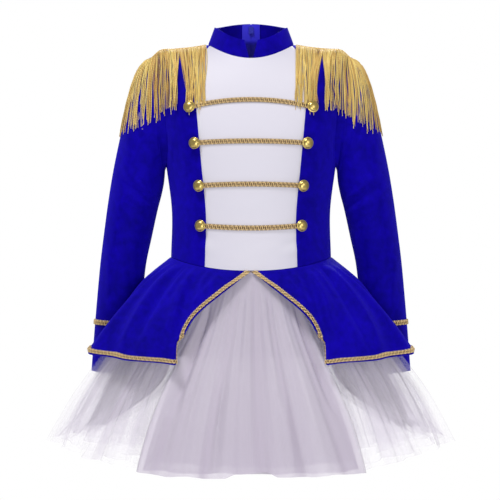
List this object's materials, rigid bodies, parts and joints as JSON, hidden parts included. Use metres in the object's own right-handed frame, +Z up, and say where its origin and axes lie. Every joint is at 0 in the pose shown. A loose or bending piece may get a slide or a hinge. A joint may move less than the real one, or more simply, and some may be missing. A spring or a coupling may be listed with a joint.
{
  "type": "ringmaster costume dress",
  "caption": "Child's ringmaster dress in worn shape: velvet bodice with stand collar, fringed shoulders, braid and buttons, open-front peplum and tulle skirt.",
  "frame": {"origin": "inside the neck opening, level with the base of the neck, where the wearer's shoulders hold the dress", "axes": "+Z up, -Y to the front, +X to the wearer's left"},
  "size_m": [0.5156, 0.3041, 0.568],
  "materials": {
    "velvet": "royal blue stretch velvet with a short dense pile",
    "satin": "white matt stretch satin",
    "tulle": "white soft nylon net",
    "gold_braid": "gold metallic gimp braid",
    "gold_fringe": "gold viscose bullion fringe, silky",
    "button_metal": "brass-plated domed button, worn satin",
    "zip_tape": "blue woven polyester zip tape",
    "zip_metal": "blue enamelled zip slider"
  },
  "bodies": {
    "dress": {"front_panel": "satin", "side_front_left": "velvet", "side_front_right": "velvet", "back_left": "velvet", "back_right": "velvet", "sleeve_left": "velvet", "sleeve_right": "velvet", "collar_left": "velvet", "collar_right": "velvet", "peplum_left": "velvet", "peplum_right": "velvet", "tulle_outer": "tulle", "tulle_under": "tulle", "braid_row_1": "gold_braid", "braid_row_2": "gold_braid", "braid_row_3": "gold_braid", "braid_row_4": "gold_braid", "cuff_braid_left": "gold_braid", "cuff_braid_right": "gold_braid", "peplum_braid_left": "gold_braid", "peplum_braid_right": "gold_braid", "button_1_left": "button_metal", "button_1_right": "button_metal", "button_2_left": "button_metal", "button_2_right": "button_metal", "button_3_left": "button_metal", "button_3_right": "button_metal", "button_4_left": "button_metal", "button_4_right": "button_metal", "fringe_left": "gold_fringe", "fringe_right": "gold_fringe", "zip_tape_left": "zip_tape", "zip_tape_right": "zip_tape", "zip_slider": "zip_metal"},
    "pull_tab": {"zip_pull": "zip_metal"}
  },
  "joints": [
    {"name": "zip_pull_hinge", "type": "hinge", "parent": "dress", "child": "pull_tab", "pos_m": [0, 0.04456, 0.03015], "axis": [1, 0, 0], "range_deg": [0, 150]}
  ]
}
